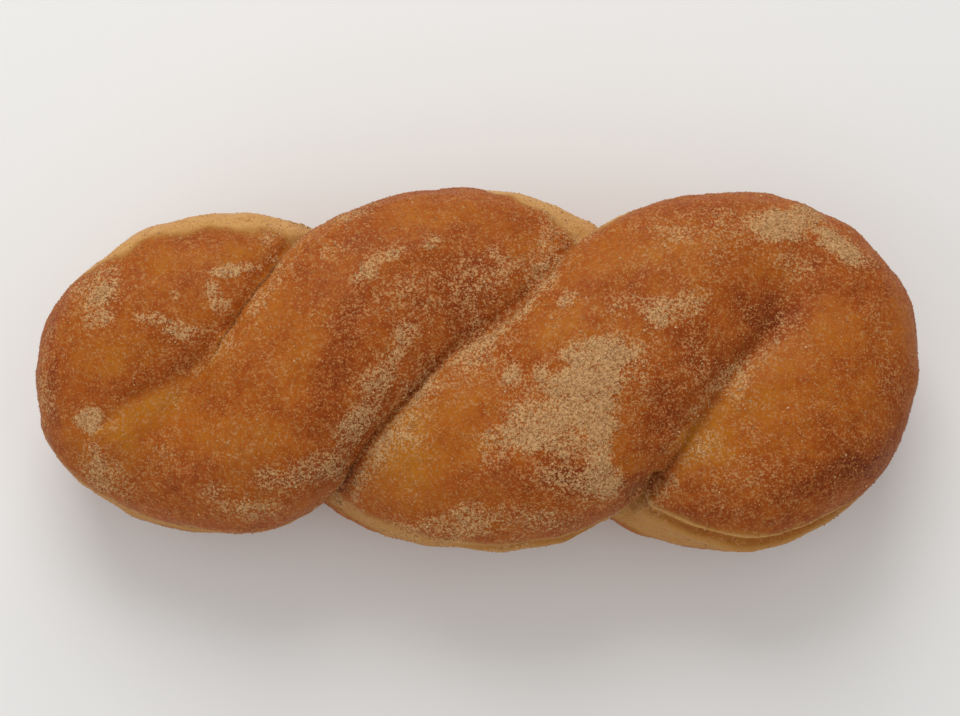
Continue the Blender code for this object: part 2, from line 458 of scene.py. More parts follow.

# %% [markdown]
# ## Maps of the crust
#
# Six maps say what pressing, frying and sugaring did at each point of the skin, and where light and shade are
# painted: how far off the crease is and how sharply it cuts, where else the skin is pressed in, which gets painted
# shade, how brown it is, with painted light and shade beside the creases and tucks, where the pale band that stayed
# out of the oil runs, with painted shade on its front and painted shade and highlight at its fold, and how thick the
# sugar lies. They are stored on the vertices, so they follow the surface and look right from every side. Brown, gold
# and sugar come in patches, and a few of the brown ones are painted shade. Each patch is an oval, given by its place
# and its two half sizes in millimetres, its turn in degrees and its strength, and noise breaks up its edge.

# %% Patches
# x, y, half length, half width, turn, strength
DRIFTS = (
    (21.4, -1.2, 6.6, 2.9, 0, 0.9), (17.8, -5.8, 7.6, 3.2, 8, 0.9), (14.4, -11.3, 8.0, 3.5, 8, 0.76),
    (21.0, -14.0, 2.5, 7.0, 0, 0.85), (7.4, -15.4, 6.2, 2.7, 0, 0.73), (15.4, -16.4, 5.9, 2.8, 0, 0.55),
    (4.2, -17.2, 4.6, 3.2, 0, 0.34), (21.2, -22.5, 3.6, 3.3, 0, 0.6), (13.6, -21.6, 5.2, 2.8, 0, 0.28),
    (5.9, -4.4, 1.6, 2.1, 0, 0.75), (12.1, -3.8, 2.4, 1.7, 0, 0.6), (9.4, -29.2, 12.4, 2.3, -3, 0.26),
    (0.0, -28.2, 5.0, 2.1, 0, 0.41), (18.8, -26.6, 4.6, 1.6, 15, 0.3), (-12.8, 3.0, 2.1, 3.1, -60, 0.4),
    (-18.0, -4.5, 5.2, 2.1, 60, 0.4), (-20.9, -11.4, 4.9, 2.3, 52, 0.43), (-29.9, -21.0, 5.6, 2.6, 30, 0.44),
    (-25.8, -19.8, 2.8, 2.3, 45, 0.46), (-4.0, 11.3, 15.0, 6.0, 14, 0.3), (10.5, 17.1, 6.4, 3.2, 30, 0.18),
    (-19.7, 14.0, 3.1, 1.6, 35, 0.52), (-14.5, 17.5, 2.4, 1.6, 30, 0.6), (-8.2, 19.6, 1.9, 1.6, 0, 0.56),
    (2.3, 18.1, 1.6, 1.2, 0, 0.5), (-4.3, 15.5, 6.0, 1.8, 0, 0.2), (-22.7, 25.8, 4.6, 1.4, 30, 0.3),
    (-25.9, 17.9, 2.8, 2.8, 0, 0.2), (-44.1, 14.9, 4.9, 1.1, 12, 0.62), (-47.2, 11.3, 1.6, 2.3, 0, 0.62),
    (-46.1, 9.2, 2.4, 1.4, -40, 0.58), (-57.5, 6.1, 4.2, 1.2, -5, 0.43), (-52.5, 4.0, 2.8, 1.4, -15, 0.45),
    (-53.5, 10.2, 1.1, 0.9, 0, 0.45), (-67.3, 10.5, 3.5, 1.8, 40, 0.62), (-67.0, 6.6, 2.6, 1.8, 0, 0.58),
    (-68.5, 9.7, 4.6, 5.0, 30, 0.32), (-68.7, -11.1, 2.1, 1.8, 0, 0.85), (-74.3, -5.2, 0.9, 1.4, 0, 0.4),
    (-46.3, -23.8, 2.5, 1.4, 0, 0.4), (-34.8, -22.2, 6.3, 2.3, 12, 0.32), (-40.0, -26.5, 13.0, 2.2, 3, 0.25),
    (-65.9, -20.4, 7.5, 3.0, -38, 0.35), (31.4, 6.3, 3.0, 2.6, 30, 0.54), (25.6, 8.1, 4.9, 1.9, 10, 0.32),
    (37.5, 8.1, 3.8, 2.4, 20, 0.3), (15.7, 9.2, 1.7, 1.4, 0, 0.5), (54.3, 23.9, 5.3, 3.2, 0, 0.85),
    (64.6, 20.6, 5.7, 2.1, -33, 0.8), (59.6, 27.0, 3.2, 2.0, -10, 0.6), (39.1, 19.9, 14.3, 6.3, 5, 0.24),
    (47.2, -2.4, 10.5, 2.4, 45, 0.42), (36.8, -1.8, 3.5, 5.2, 0, 0.08), (42.8, -19.8, 8.1, 6.0, 0, 0.14),
    (39.0, -10.0, 3.5, 2.4, 45, 0.36), (36.9, -13.3, 5.3, 3.2, 45, 0.18), (47.4, -13.5, 2.5, 1.4, 0, 0.22),
    (47.4, -22.5, 1.8, 1.4, 0, 0.25), (43.8, -27.1, 4.3, 1.4, 0, 0.15), (-6.0, -30.5, 10.0, 2.0, 0, 0.4),
    (-77.0, -2.5, 2.4, 9.0, 0, 0.3), (-68.0, 14.0, 6.0, 2.0, 50, 0.3), (72.0, 4.0, 3.0, 10.0, 10, 0.14),
    (36.0, -6.0, 5.0, 8.0, -30, 0.17), (-57.0, -18.0, 7.0, 5.0, 0, 0.2), (-18.4, -18.4, 6.1, 2.3, 60, 0.52),
    (10.8, 14.8, 7.1, 1.4, 47, 0.36), (-1.6, 1.3, 5.5, 1.4, 38, 0.5), (-46.6, -0.2, 5.3, 0.8, 48, 0.3),
    (-36.5, 11.5, 7.0, 1.6, 55, 0.34), (54.0, 16.5, 6.0, 3.0, 0, 0.3), (0.5, 8.0, 7.0, 2.0, 42, 0.3),
    (-57.0, -9.0, 8.5, 3.0, 20, 0.16), (5.7, 6.5, 4.8, 1.4, 38, 0.6), (-19.7, -9.6, 12.6, 2.4, 62, 0.42),
)
GOLDEN = (
    (-58.5, -10.2, 8.5, 3.0, 12, 0.75), (-5.0, -23.0, 8.0, 3.0, 0, 0.4), (54.0, 16.0, 5.0, 3.0, 0, 0.35),
    (-62.9, -12.7, 2.5, 3.6, 0, 0.8), (-10.8, -17.3, 6.0, 6.4, 0, 1.0), (-6.1, -12.1, 5.3, 3.5, 30, 0.5),
    (-3.0, -17.5, 5.5, 4.5, 0, 0.6), (14.9, 4.6, 5.6, 2.4, 40, 0.6), (-1.3, -6.3, 7.0, 2.5, 40, 0.5),
    (51.6, -10.1, 8.1, 3.9, 0, 0.62), (39.5, -16.3, 6.4, 3.9, 0, 1.0), (-64.4, -0.6, 5.3, 3.9, 0, 0.6),
    (-30.3, -0.2, 4.5, 10.4, -25, 0.55), (-42.3, -15.4, 8.8, 3.9, 0, 0.8), (28.7, 17.1, 9.8, 2.1, 15, 0.6),
    (-47.8, 17.8, 10.2, 1.8, 8, 0.6), (-35.2, 6.5, 3.1, 5.9, -35, 0.5), (62.4, 4.0, 4.2, 3.5, 0, 0.3),
    (-8.2, 24.7, 8.8, 2.1, 5, 0.35),
)
# Darker patches: most are the crust's own deeper browning, and a few are painted shade, such as the long one beside
# the crease at x -17.6 and the one along the right end at x 73.8.
BROWN_AND_SHADE_PATCHES = (
    (-24.4, 0.3, 2.8, 10.8, -15, 0.8), (-21.8, 8.0, 3.5, 4.2, 0, 0.5), (-54.7, -21.2, 7.9, 3.2, 0, 0.1),
    (50.5, 7.1, 6.3, 3.2, 15, 0.9), (62.5, -21.4, 9.2, 2.8, 20, 1.1), (32.8, -10.5, 3.5, 9.1, -10, 0.6),
    (-75.9, -5.6, 1.4, 7.9, 0, 0.7), (73.8, -7.3, 2.1, 10.7, 0, 0.3), (0.1, 9.7, 13.0, 5.6, 20, 0.45),
    (-10.5, -2.7, 6.0, 2.1, 50, 0.5), (16.3, -21.9, 3.8, 2.4, 0, 0.7), (-34.3, -21.5, 5.3, 3.2, 20, 0.5),
    (7.7, -22.2, 7.0, 2.5, 0, 0.45), (66.4, 15.4, 7.8, 5.3, 0, 0.4), (42.7, -28.4, 10.7, 1.8, 0, 0.5),
    (38.3, 1.9, 5.2, 5.2, 0, 0.6), (7.2, 25.0, 7.1, 1.8, -15, 0.3), (-17.6, -9.0, 11.5, 2.6, 60, 0.6),
    (28.0, -22.4, 2.8, 1.4, 40, 1.0),
)


def ovals(places, patches, wobble):
    """The strongest of some soft ovals at each place, seen from above. Wobble, in mm, makes their edges uneven."""
    strongest = np.zeros(len(places))
    for x, y, half_length, half_width, turn, strength in patches:
        angle = math.radians(turn)
        east = places[:, 0] - x
        north = places[:, 1] - y
        along_oval = (east * math.cos(angle) + north * math.sin(angle)) / half_length
        across_oval = (north * math.cos(angle) - east * math.sin(angle)) / half_width
        reach = np.hypot(along_oval, across_oval) + wobble / min(half_length, half_width)
        soft = 0.75 * (1.0 - smoothstep(0.3, 1.6, reach)) + 0.25 * (1.0 - smoothstep(0.3, 2.4, reach))
        strongest = np.maximum(strongest, strength * soft)
    return strongest


print(len(DRIFTS), "sugar drifts,", len(GOLDEN), "golden and", len(BROWN_AND_SHADE_PATCHES), "browned patches")

# %% [markdown]
# The pale band follows the waist, where neither side of the dough lay in the oil. It climbs higher on some lobes
# than on others, because each lobe floated tilted. Its edges are given as heights at places along the doughnut,
# for the back and the front, and run straight between them before noise makes them uneven.

# %% The pale band
BAND_TOP_BACK = (
    (-84, 22), (-76, 25.4), (-70, 30), (-64, 32.6), (-52, 33.0), (-43, 32.4), (-34, 30.4), (-29, 24), (-12, 20),
    (-3, 23), (3, 28), (10, 30), (17, 30.5), (24, 33.5), (28, 30), (33, 22), (45, 19), (62, 19), (74, 21), (84, 22),
)
BAND_TOP_FRONT = (
    (-84, 22), (-76, 24.5), (-69, 23.5), (-62, 21), (-52, 18), (-30, 19), (-23, 22), (-14, 26.5), (-5, 26.8),
    (3, 27.4), (14, 27.6), (21, 26.6), (27, 26.6), (33, 27.6), (48, 28.2), (60, 28.2), (67, 26), (74, 23), (84, 22),
)
BAND_BOTTOM = 12.5
# How much less pale the band is painted on its front, the side turned from the lamp: painted shade.
FRONT_SHADE = 0.35


def level_at(steps, x):
    """A height or a share given at places along the doughnut, read at each x on straight lines between them."""
    return np.interp(x, [place for place, level in steps], [level for place, level in steps])


front_side = smoothstep(-3.0, 3.0, -places[:, 1])
band_top = front_side * level_at(BAND_TOP_FRONT, places[:, 0])
band_top += (1.0 - front_side) * level_at(BAND_TOP_BACK, places[:, 0])
above_band = places[:, 2] - band_top + 0.9 * swell(places, 5.0, (5.0, 0.3, 9.9), layers=3)
below_band = BAND_BOTTOM - places[:, 2] + 1.5 * swell(places, 8.0, (2.0, 0.7, 1.9), layers=3)
outward = 1.0 - smoothstep(0.80, 0.97, np.abs(normals[:, 2]))
pale = (1.0 - smoothstep(-2.4, 1.2, above_band)) * (1.0 - smoothstep(-2.5, 1.5, below_band)) * outward
# Painted shade: the band is painted less pale on the front, the side turned from the lamp.
pale *= 1.0 - FRONT_SHADE * front_side
print("the pale band covers", round(100 * float((pale > 0.5).mean())), "% of the skin")

# %% [markdown]
# Past the bends the creases go on as soft folds, where one strand is tucked against the other, and the right
# crease ends in a pit. Each is given as a line of points, drawn on the top from its upper end to its lower one.
# What matters is how far a place is from the line, on which side, and how far along.

# %% Folds at the bends
LEFT_TUCK = ((-47.5, 1.0), (-49.5, -1.2), (-52.5, -3.8), (-57.7, -6.4), (-61.4, -8.3), (-65.3, -11.5))
RIGHT_TUCK = ((63.1, 8.7), (57.9, 6.0), (53.1, 2.9), (47.6, -0.5), (42.0, -6.8), (37.0, -12.5))
PIT = ((32.0, -21.6), (27.4, -25.4))


def beside(places, line):
    """The distance from a line, positive on its lower right, and the share of the line's length."""
    nearest = np.full(len(places), 1e3)
    share = np.zeros(len(places))
    for index, (start, end) in enumerate(zip(line, line[1:])):
        run = np.subtract(end, start)
        offset = places[:, :2] - np.array(start)
        part = np.clip(offset @ run / (run @ run), 0.0, 1.0)
        distance = np.linalg.norm(offset - part[:, None] * run, axis=1)
        closer = distance < np.abs(nearest)
        side = np.sign(run[0] * offset[:, 1] - run[1] * offset[:, 0])
        nearest = np.where(closer, distance * side, nearest)
        share = np.where(closer, (index + part) / (len(line) - 1), share)
    return nearest, share


def bump_at(distance, centre, half_width):
    """A smooth bump, 1 at the centre."""
    return np.exp(-(((distance - centre) / half_width) ** 2))


left_tuck, left_share = beside(places, LEFT_TUCK)
right_tuck, right_share = beside(places, RIGHT_TUCK)
pit = beside(places, PIT)[0]
print("skin within 3 mm of the folds:", int(((np.abs(left_tuck) < 3) | (np.abs(right_tuck) < 3)).sum()), "vertices")

# %% [markdown]
# The frying, the sugar and the painted light and shade depend on where a place lies: on the top or underneath, and
# on which side of a crease. The lobe on the lower right of a crease faces the upper left there, towards the light,
# and its edge is the lip. The other lobe's edge is the flank, turned from the light. How sharply the crease cuts is
# given at places along the doughnut. The left tuck is sharpest at its upper end, and the right one grows deeper
# downwards.

# %% Which side of a crease
CUT_SHARES = (
    (-51.0, 0.0), (-45.0, 1.0), (-28.0, 0.95), (-20.0, 0.7), (-11.0, 0.6), (-4.0, 0.45), (4.0, 0.35), (18.0, 0.4),
    (26.0, 0.9), (32.0, 0.7), (38.0, 0.25), (45.0, 0.0),
)
UPPER_LEFT = np.array([-0.7, 0.7, 0.0])
LIP_WIDTH = 6.5
FLANK_WIDTH = 5.0

crease_offset = read_map(crust, "crease_offset")
loop_share = 1.0 - past_ends(places[:, 0])
upper = smoothstep(-0.2, 0.35, normals[:, 2])
# Facing the upper left, towards the light: this picks the lit side of a crease for painted light and the other side
# for painted shade.
lower_right = smoothstep(-0.22, 0.22, normals @ UPPER_LEFT)
cut_share = level_at(CUT_SHARES, places[:, 0])
lip = upper * lower_right * bump_at(crease_offset, 0.0, LIP_WIDTH) * loop_share
flank = upper * (1.0 - lower_right) * bump_at(crease_offset, 0.0, FLANK_WIDTH) * loop_share
left_start = 1.0 - smoothstep(0.1, 0.5, left_share)
right_fade = smoothstep(0.15, 0.6, right_share)
# Painted shade in the pit and at the upper end of the left tuck, where shade falls; the shader darkens these places.
pressed = np.maximum(0.9 * bump_at(pit, 0.0, 0.9), 0.4 * left_start * bump_at(left_tuck, 0.0, 0.6))
pressed *= upper * (1.0 - pale)
print("the lips of the creases cover", round(100 * float((lip > 0.5).mean())), "% of the skin")

# %% [markdown]
# Browning is uneven in three sizes: the patches above, blotches of a centimetre and freckles of half that. The lips
# face the light and are painted more golden, as painted light. The shaded side of a crease or a tuck is painted
# browner, as painted shade, and a tuck's lit side lighter, as painted light.

# %% Browning
PATCH_BROWNING = 0.42
BLOTCHES = 0.2
FRECKLES = 0.16
PAINTED_FLANK_SHADE = 0.14

ragged = swell(places, 3.6, (1.0, 2.0, 3.0), layers=4)
blotches = BLOTCHES * swell(places, 11.0, (4.0, 4.0, 8.0))
freckles = FRECKLES * swell(places, 4.5, (9.0, 1.0, 5.0), layers=3)
patchy = ovals(places, BROWN_AND_SHADE_PATCHES, 0.8 * ragged) - ovals(places, GOLDEN, 0.8 * ragged)
# The patches are the crust's own browning, a few of them painted shade; the lips, facing the light, are painted
# lighter, as painted light.
browning = 0.5 + blotches + freckles + PATCH_BROWNING * upper * (patchy - 0.5 * lip)
# Painted shade on the left tuck's upper left side and painted light on its lit lower right side.
browning += upper * (0.05 * bump_at(left_tuck, -2.2, 2.6) - 0.3 * bump_at(left_tuck, 1.8, 1.8))
# Painted shade on the flank of a crease, the side turned from the light.
browning += PAINTED_FLANK_SHADE * upper * (1.0 - lower_right) * cut_share * bump_at(np.abs(crease_offset), 0.6, 1.4)
# The same painted shade and painted light beside the right tuck.
browning += upper * right_fade * (0.16 * bump_at(right_tuck, -2.2, 2.6) - 0.25 * bump_at(right_tuck, 2.0, 2.0))
browning = np.clip(browning, 0.0, 1.0)
print("mean browning", browning.mean().round(2))

# %% [markdown]
# A thin veil of sugar lies everywhere, thicker drifts on top of it, and uneven smears underneath, where the dough
# was rolled. Sugar also gathers along the creases, more on the lip than on the flank, but not in the cut itself.

# %% Sugar
LIP_SUGAR = 0.42
FLANK_SUGAR = 0.26
SEAM_SHARES = ((25.0, 1.0), (38.0, 0.7), (55.0, 0.6))
UNDER_SUGAR = 0.75
VEIL = 0.16
VEIL_SWING = 0.2

clots = swell(places, 1.3, (6.0, 1.0, 4.0), layers=2)
drift = upper * ovals(places, DRIFTS, 0.9 * ragged + 0.4 * clots) * (0.95 + 0.3 * clots)
smears = smoothstep(0.0, 0.8, swell(places, 9.0, (3.0, 6.0, 1.0), layers=4))
under = (1.0 - upper) * smears * UNDER_SUGAR
veil = VEIL + VEIL_SWING * np.clip(swell(places, 8.0, (8.0, 8.0, 2.0), layers=4), -0.8, 0.8)
seam_sugar = (LIP_SUGAR * lip + FLANK_SUGAR * flank) * (1.0 + 0.8 * ragged)
seam_sugar *= level_at(SEAM_SHARES, places[:, 0])
in_cut = cut_share * bump_at(crease_offset, 0.0, 0.55)
sugar = np.clip(np.maximum(np.maximum(drift, under), seam_sugar) + veil, 0.0, 1.0) * (1.0 - 0.85 * in_cut)
print("mean sugar", sugar.mean().round(2))

# %% [markdown]
# A fold runs along the front, just below the upper edge of the pale band: strong under the right lobe and weaker
# under the one beside it. Its groove is painted darker than the band, as painted shade, and the ridge above it
# lighter, as a painted highlight.

# %% The fold in the pale band
FOLD_DROP = 2.2
FOLDS = ((48.0, 20.0, 1.0), (12.0, 14.0, 0.6))  # middle, half length, strength

fold_strength = front_side * sum(
    strength * np.exp(-(((places[:, 0] - middle) / half_length) ** 4)) for middle, half_length, strength in FOLDS)
fold_line = places[:, 2] - (band_top - FOLD_DROP)
# Painted shade in the fold's groove.
pale *= 1.0 - 0.55 * fold_strength * bump_at(fold_line, -0.4, 0.7)
# Painted highlight on the ridge above the groove.
pale = np.minimum(1.0, pale + 0.45 * outward * fold_strength * bump_at(fold_line, 1.0, 0.6))
for name, values in (
    ("browning", browning), ("pale", pale), ("pressed", pressed), ("cut_share", cut_share), ("sugar", sugar),
):
    keep_map(crust, name, values)
print("maps on the crust:", [layer.name for layer in crust.data.attributes if layer.data_type == "FLOAT"])

# %% [markdown]
# ## Fine relief
#
# The skin has shallow wrinkles, and the sugar lies on it up to a fifth of a millimetre thick. The crease ends in
# a thin cut. A tuck at a bend is a soft groove with a raised shoulder on its lower right. Below the fold's groove
# the pale band bulges in a roll. The relief stops just above the floor, so the foot stays flat.

# %% Push the relief
CUT_DEPTH = 0.7
LEFT_TUCK_DEPTH = 0.4
RIGHT_TUCK_DEPTH = 0.35
LEFT_SHOULDER = 0.35
RIGHT_SHOULDER = 0.25
PIT_DEPTH = 1.1
FOLD_DEPTH = 0.9
FOLD_HALF_HEIGHT = 0.6
ROLL_HEIGHT = 0.8
WRINKLE_HEIGHT = 0.36
SUGAR_THICKNESS = 0.2

thin_cut = CUT_DEPTH * cut_share * bump_at(crease_offset, 0.0, 0.8) + upper * (
    LEFT_TUCK_DEPTH * bump_at(left_tuck, 0.0, 1.4) - LEFT_SHOULDER * bump_at(left_tuck, 3.5, 2.8)
    + right_fade * (RIGHT_TUCK_DEPTH * bump_at(right_tuck, 0.0, 1.6) - RIGHT_SHOULDER * bump_at(right_tuck, 3.5, 2.5))
    + PIT_DEPTH * bump_at(pit, 0.0, 1.3)
)
fold = FOLD_DEPTH * fold_strength * bump_at(fold_line, 0.0, FOLD_HALF_HEIGHT) * outward
roll = ROLL_HEIGHT * fold_strength * bump_at(fold_line, -2.0, 1.4) * outward
wrinkles = WRINKLE_HEIGHT * swell(places, 6.5, (6.0, 5.0, 2.0), layers=5)
sugar_rise = SUGAR_THICKNESS * smoothstep(0.4, 0.9, sugar)
standing = smoothstep(0.15, 0.6, places[:, 2])
relief = standing * (wrinkles + sugar_rise + roll - thin_cut - fold)
write_points(crust, places + normals * relief[:, None])
print("deepest cut", thin_cut.max().round(2), "mm, thickest sugar", sugar_rise.max().round(2), "mm")

# %% [markdown]
# ## Thinning out
#
# A fine even skin has more triangles than it needs on the smooth lobes. Decimate merges them there first, and
# keeps them in the creases and where sugar lies. Smooth shading hides the edges that are left.

# %% Thin out the skin
CRUST_TRIANGLES = 192000

crust.data.calc_loop_triangles()
collapse = crust.modifiers.new("thin_out", "DECIMATE")
collapse.ratio = min(1.0, CRUST_TRIANGLES / len(crust.data.loop_triangles))
collapse.use_collapse_triangulate = True
finish_modifier(crust, collapse)
only(crust)
bpy.ops.object.shade_smooth()
print("crust:", len(crust.data.polygons), "triangles")

# %% [markdown]
# ## Fried yeast dough
#
# Fried dough is matt with a faint oily gloss, and its colour runs from gold through orange-brown to red-brown as
# the sugars in it caramelise. The stored maps choose between those colours, and also paint light and shade into
# them. Sugar too fine to model as grains is drawn as noise of grain size, 0.5 mm, over the crust, with clots of a
# millimetre or so. Real caster sugar is half that, but would not show. Water and starch have an IOR near 1.45, and
# the skin is dry and hardly glossy.
#
# Some sockets of a node share a name, so they are given by number. A Map Range's 1 to 4 are the range it reads and
# the range it gives, a colour Mix's 0 is the share and its 6 and 7 are the two colours.

# %% Maps and noises for the crust
SPECK = 0.48 * MM
CLOT = 1.2 * MM
MOTTLE = 1.8 * MM

crust_paint = bpy.data.materials.new("fried_yeast_dough")
crust_paint.use_nodes = True
tree = crust_paint.node_tree
surface = tree.nodes["Principled BSDF"]
place = add_node(tree, "ShaderNodeTexCoord", output="Object")
maps = {
    name: add_node(tree, "ShaderNodeAttribute", output="Fac", attribute_name=name)
    for name in ("browning", "pale", "crease_offset", "cut_share", "pressed", "sugar")
}
speck, clot, mottle = [
    add_node(
        tree, "ShaderNodeTexNoise",
        {"Vector": place, "Scale": 1.0 / size, "Detail": detail, "Roughness": roughness}, "Fac")
    for size, detail, roughness in ((SPECK, 3.0, 0.75), (CLOT, 3.0, 0.6), (MOTTLE, 4.0, 0.65))
]
print("the crust's shader reads", list(maps))

# %% [markdown]
# The bare crust comes first. The browning map, made uneven by the mottle, picks a colour from a ramp, the pale
# band is laid over it in two steps, since its edge is tan before it is cream, and painted shade darkens the creases,
# the pit and the left tuck last. The offset from the crease passes through nothing there, so the painted dark line
# stays thin whatever the faces are.

# %% The bare crust
FRY_COLOURS = ((0.0, "#b26a12"), (0.3, "#aa5a12"), (0.55, "#9b480e"), (0.8, "#87380b"), (1.0, "#702a09"))
PALE_STEPS = ((0.02, 0.6, "#a5702e"), (0.35, 0.95, "#cc9a59"))  # starts, is full, colour
# The colour of the painted shade in the creases, the pit and the tuck.
CREASE_SHADE_COLOUR = "#45200a"
LINE_SHARE = 0.75
HOLLOW_SHARE = 0.7
MOTTLE_SWING = 0.8

uneven = add_node(
    tree, "ShaderNodeMath", {0: mottle, 1: MOTTLE_SWING, 2: -MOTTLE_SWING / 2.0}, operation="MULTIPLY_ADD")
brown = add_node(tree, "ShaderNodeMath", {0: maps["browning"], 1: uneven}, operation="ADD")
fried = add_node(tree, "ShaderNodeValToRGB", {"Fac": brown}, "Color")
ramp = fried.node.color_ramp
ramp.elements[1].position = FRY_COLOURS[-1][0]
for position, colour in FRY_COLOURS[1:-1]:
    ramp.elements.new(position)
for element, (position, colour) in zip(ramp.elements, FRY_COLOURS):
    element.color = linear(colour)
skin = fried
for low, high, colour in PALE_STEPS:
    share = add_node(
        tree, "ShaderNodeMapRange", {0: maps["pale"], 1: low, 2: high}, interpolation_type="SMOOTHSTEP")
    skin = add_node(tree, "ShaderNodeMix", {0: share, 6: skin, 7: colour}, 2, data_type="RGBA")
# Painted shade: the crease line and the hollows are darkened towards the shade colour.
offset = add_node(tree, "ShaderNodeMath", {0: maps["crease_offset"]}, operation="ABSOLUTE")
line = add_node(
    tree, "ShaderNodeMapRange", {0: offset, 1: 0.1, 2: 0.5, 3: LINE_SHARE, 4: 0.0},
    interpolation_type="SMOOTHSTEP")
line = add_node(tree, "ShaderNodeMath", {0: line, 1: maps["cut_share"]}, operation="MULTIPLY")
hollow = add_node(tree, "ShaderNodeMath", {0: maps["pressed"], 1: HOLLOW_SHARE}, operation="MULTIPLY")
dark = add_node(tree, "ShaderNodeMath", {0: line, 1: hollow}, operation="MAXIMUM")
skin = add_node(tree, "ShaderNodeMix", {0: dark, 6: skin, 7: CREASE_SHADE_COLOUR}, 2, data_type="RGBA")
print("fry colours", [colour for position, colour in FRY_COLOURS])

# %% [markdown]
# Then the sugar. Melted grains lighten the crust everywhere. Where the sugar map and the fine noise together pass
# a threshold the powder covers it: thin powder is wetted by the crust and looks orange, thick powder is cream.
# Powder is rougher than the crust, and both stand a little proud, which the Bump node shows.

# %% The powdered sugar
SPECK_WEIGHT = 0.72
CLOT_WEIGHT = 0.28
MELTED_COLOUR = "#b47134"
MELTED_SHARE = 0.6
THIN_POWDER = "#bc8453"
POWDER_SHADE = "#b18455"
POWDER_LIGHT = "#d5aa75"
NOISE_WEIGHT = 4.0
POWDER_STARTS = 2.36
POWDER_FULL = 2.74
POWDER_SHARE = 0.88
CRUST_IOR = 1.45
CRUST_SPECULAR = 0.12
CRUST_ROUGHNESS = 0.5
POWDER_ROUGHNESS = 0.85
GRIT_DEPTH = 0.2 * MM

finest = add_node(tree, "ShaderNodeMath", {0: speck, 1: SPECK_WEIGHT}, operation="MULTIPLY")
fine = add_node(tree, "ShaderNodeMath", {0: clot, 1: CLOT_WEIGHT, 2: finest}, operation="MULTIPLY_ADD")
melted = add_node(
    tree, "ShaderNodeMapRange", {0: fine, 1: 0.46, 2: 0.6, 4: MELTED_SHARE}, interpolation_type="SMOOTHSTEP")
glazed = add_node(tree, "ShaderNodeMix", {0: melted, 6: skin, 7: MELTED_COLOUR}, 2, data_type="RGBA")
drifted = add_node(
    tree, "ShaderNodeMath", {0: fine, 1: NOISE_WEIGHT, 2: maps["sugar"]}, operation="MULTIPLY_ADD")
cover = add_node(
    tree, "ShaderNodeMapRange", {0: drifted, 1: POWDER_STARTS, 2: POWDER_FULL}, interpolation_type="SMOOTHSTEP")
lit = add_node(tree, "ShaderNodeMapRange", {0: speck, 1: 0.36, 2: 0.62}, interpolation_type="SMOOTHSTEP")
powder = add_node(tree, "ShaderNodeMix", {0: lit, 6: POWDER_SHADE, 7: POWDER_LIGHT}, 2, data_type="RGBA")
thick = add_node(
    tree, "ShaderNodeMapRange", {0: maps["sugar"], 1: 0.25, 2: 0.65}, interpolation_type="SMOOTHSTEP")
powder = add_node(tree, "ShaderNodeMix", {0: thick, 6: THIN_POWDER, 7: powder}, 2, data_type="RGBA")
covering = add_node(tree, "ShaderNodeMath", {0: cover, 1: POWDER_SHARE}, operation="MULTIPLY")
coated = add_node(tree, "ShaderNodeMix", {0: covering, 6: glazed, 7: powder}, 2, data_type="RGBA")
matt = add_node(tree, "ShaderNodeMapRange", {0: cover, 3: CRUST_ROUGHNESS, 4: POWDER_ROUGHNESS})
grit = add_node(
    tree, "ShaderNodeMapRange", {0: maps["sugar"], 1: 0.1, 2: 0.8, 3: 0.5, 4: 1.0}, interpolation_type="SMOOTHSTEP")
height = add_node(tree, "ShaderNodeMath", {0: speck, 1: grit}, operation="MULTIPLY")
rough = add_node(tree, "ShaderNodeBump", {"Height": height, "Strength": 0.4, "Distance": GRIT_DEPTH}, "Normal")
for name, output in (("Base Color", coated), ("Roughness", matt), ("Normal", rough)):
    tree.links.new(output, surface.inputs[name])
for name, value in (("IOR", CRUST_IOR), ("Specular IOR Level", CRUST_SPECULAR)):
    surface.inputs[name].default_value = value
crust.data.materials.clear()
crust.data.materials.append(crust_paint)
print("crust material:", len(tree.nodes), "nodes")

# %% [markdown]
# ## Sugar grains
#
# Loose sugar is what makes the coat sparkle and gives it a rough outline, so it is real geometry. One crystal of
# each kind is modelled from a primitive, and Geometry Nodes scatters copies over the crust, more where the sugar
# map is high. Realizing the instances and applying the modifier turns them into one plain mesh for each kind.

# %% Model one crystal of each kind


def crystal(name, primitive, sides, **settings):
    """A small primitive, squashed to the crystal's three sizes in millimetres."""
    bpy.ops.object.select_all(action="DESELECT")
    primitive(**settings)
    thing = bpy.context.object
    thing.name = name
    bpy.ops.transform.resize(value=[side * MM for side in sides])
    bpy.ops.object.transform_apply(location=True, rotation=True, scale=True)
    return thing


cube = bpy.ops.mesh.primitive_cube_add
prism = bpy.ops.mesh.primitive_cylinder_add
cone = bpy.ops.mesh.primitive_cone_add
lump = bpy.ops.mesh.primitive_ico_sphere_add
samples = {
    "sugar_crystals": crystal("one_crystal", cube, (0.36, 0.30, 0.24), size=1.0),
    "sugar_grains": crystal("one_grain", prism, (0.38, 0.32, 0.16), vertices=3, radius=0.5, depth=1.0),
    "sugar_dust": crystal("one_speck", cone, (0.28, 0.25, 0.18), vertices=3, radius1=0.5, depth=1.0),
    "melted_sugar": crystal("one_melted_grain", prism, (0.46, 0.34, 0.06), vertices=3, radius=0.5, depth=1.0),
    "cinnamon_flecks": crystal("one_fleck", cone, (0.30, 0.20, 0.10), vertices=4, radius1=0.5, depth=1.0),
    "sugar_clumps": crystal("one_clump", lump, (0.8, 0.65, 0.4), subdivisions=1, radius=0.5),
}
print({name: len(thing.data.polygons) for name, thing in samples.items()}, "faces each")

# %% The scattering nodes


